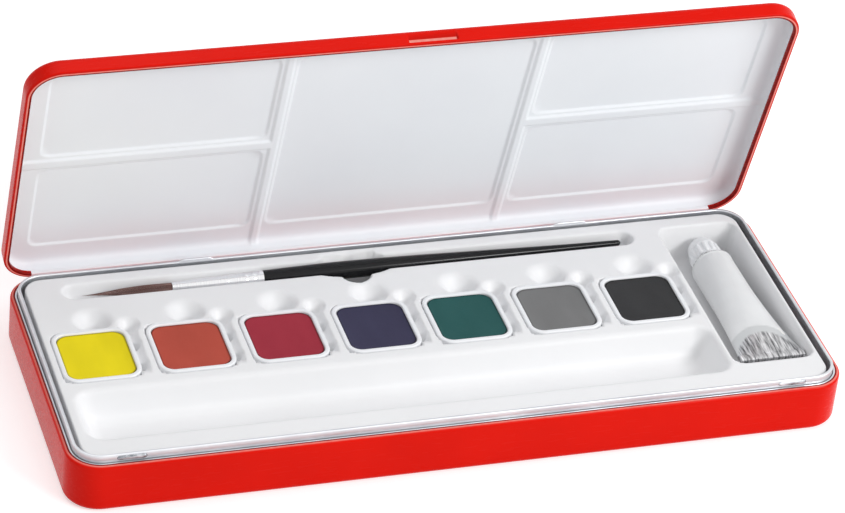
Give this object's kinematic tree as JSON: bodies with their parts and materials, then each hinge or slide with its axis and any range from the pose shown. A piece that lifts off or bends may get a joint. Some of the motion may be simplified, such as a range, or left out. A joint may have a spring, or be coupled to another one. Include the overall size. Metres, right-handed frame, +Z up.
{
  "type": "gouache paint box",
  "caption": "Flat hinged tin with a mixing lid and a white tray that holds square pans of gouache, a brush and a paint tube.",
  "frame": {"origin": "middle of the base's flat underside", "axes": "+X along the box to its tube end, +Y from the front to the hinges, +Z up"},
  "size_m": [0.23, 0.0996, 0.1009],
  "materials": {
    "red_enamel": "glossy red enamel on tinplate, white inside the lid",
    "bright_steel": "bare satin tinplate",
    "tray_plastic": "thermoformed white sheet",
    "pan_plastic": "moulded white plastic",
    "black_lacquer": "black lacquered wood",
    "nickel": "nickel plated, seamless",
    "brown_hair": "reddish brown hair",
    "tube_metal": "white lacquer, bare towards the folded tail",
    "gouache_white": "white gouache paste",
    "liner_rubber": "soft sealing disc",
    "cap_plastic": "white fluted plastic",
    "gouache_lemon_yellow": "dried gouache block",
    "gouache_brick": "dried gouache block",
    "gouache_crimson": "dried gouache block",
    "gouache_indigo": "dried gouache block",
    "gouache_green": "dried gouache block",
    "gouache_grey": "dried gouache block",
    "gouache_black": "dried gouache block"
  },
  "bodies": {
    "base": {"base_shell": "red_enamel", "rim_frame": "bright_steel", "hinge_pin_left": "bright_steel", "hinge_pin_right": "bright_steel"},
    "lid": {"lid_shell": "red_enamel"},
    "tray": {"tray_insert": "tray_plastic"},
    "pan_1_filled": {"pan_1": "pan_plastic", "paint_1": "gouache_lemon_yellow"},
    "pan_2_filled": {"pan_2": "pan_plastic", "paint_2": "gouache_brick"},
    "pan_3_filled": {"pan_3": "pan_plastic", "paint_3": "gouache_crimson"},
    "pan_4_filled": {"pan_4": "pan_plastic", "paint_4": "gouache_indigo"},
    "pan_5_filled": {"pan_5": "pan_plastic", "paint_5": "gouache_green"},
    "pan_6_filled": {"pan_6": "pan_plastic", "paint_6": "gouache_grey"},
    "pan_7_filled": {"pan_7": "pan_plastic", "paint_7": "gouache_black"},
    "brush": {"brush_handle": "black_lacquer", "brush_ferrule": "nickel", "brush_hair": "brown_hair"},
    "tube": {"tube_body": "tube_metal", "tube_paint": "gouache_white"},
    "liner": {"cap_liner": "liner_rubber"},
    "cap": {"tube_cap": "cap_plastic"}
  },
  "joints": [
    {"name": "lid_hinge", "type": "hinge", "parent": "base", "child": "lid", "pos_m": [0, 0.0452, 0.0117], "axis": [-1, 0, 0], "range_deg": [-73.5, 36.5]},
    {"name": "tray_lift", "type": "slide", "parent": "base", "child": "tray", "axis": [0, 0, 1], "range_m": [0, 0.019]},
    {"name": "pan_1_lift", "type": "slide", "parent": "tray", "child": "pan_1_filled", "axis": [0, 0, 1], "range_m": [0, 0.012]},
    {"name": "pan_2_lift", "type": "slide", "parent": "tray", "child": "pan_2_filled", "axis": [0, 0, 1], "range_m": [0, 0.012]},
    {"name": "pan_3_lift", "type": "slide", "parent": "tray", "child": "pan_3_filled", "axis": [0, 0, 1], "range_m": [0, 0.012]},
    {"name": "pan_4_lift", "type": "slide", "parent": "tray", "child": "pan_4_filled", "axis": [0, 0, 1], "range_m": [0, 0.012]},
    {"name": "pan_5_lift", "type": "slide", "parent": "tray", "child": "pan_5_filled", "axis": [0, 0, 1], "range_m": [0, 0.012]},
    {"name": "pan_6_lift", "type": "slide", "parent": "tray", "child": "pan_6_filled", "axis": [0, 0, 1], "range_m": [0, 0.012]},
    {"name": "pan_7_lift", "type": "slide", "parent": "tray", "child": "pan_7_filled", "axis": [0, 0, 1], "range_m": [0, 0.012]},
    {"name": "brush_lift", "type": "slide", "parent": "tray", "child": "brush", "axis": [0, 0, 1], "range_m": [0, 0.012]},
    {"name": "tube_lift", "type": "slide", "parent": "tray", "child": "tube", "axis": [0, 0, 1], "range_m": [0, 0.015]},
    {"name": "cap_travel", "type": "slide", "parent": "tube", "child": "liner", "axis": [0, 1, 0], "range_m": [0, 0.002]},
    {"name": "cap_turn", "type": "hinge", "parent": "liner", "child": "cap", "pos_m": [0.0986, 0.0235, 0.0102], "axis": [0, 1, 0], "range_deg": [0, 720]}
  ],
  "couplings": [
    {"joint": "cap_turn", "follows": "cap_travel", "rad_per_m": 6283.2}
  ]
}
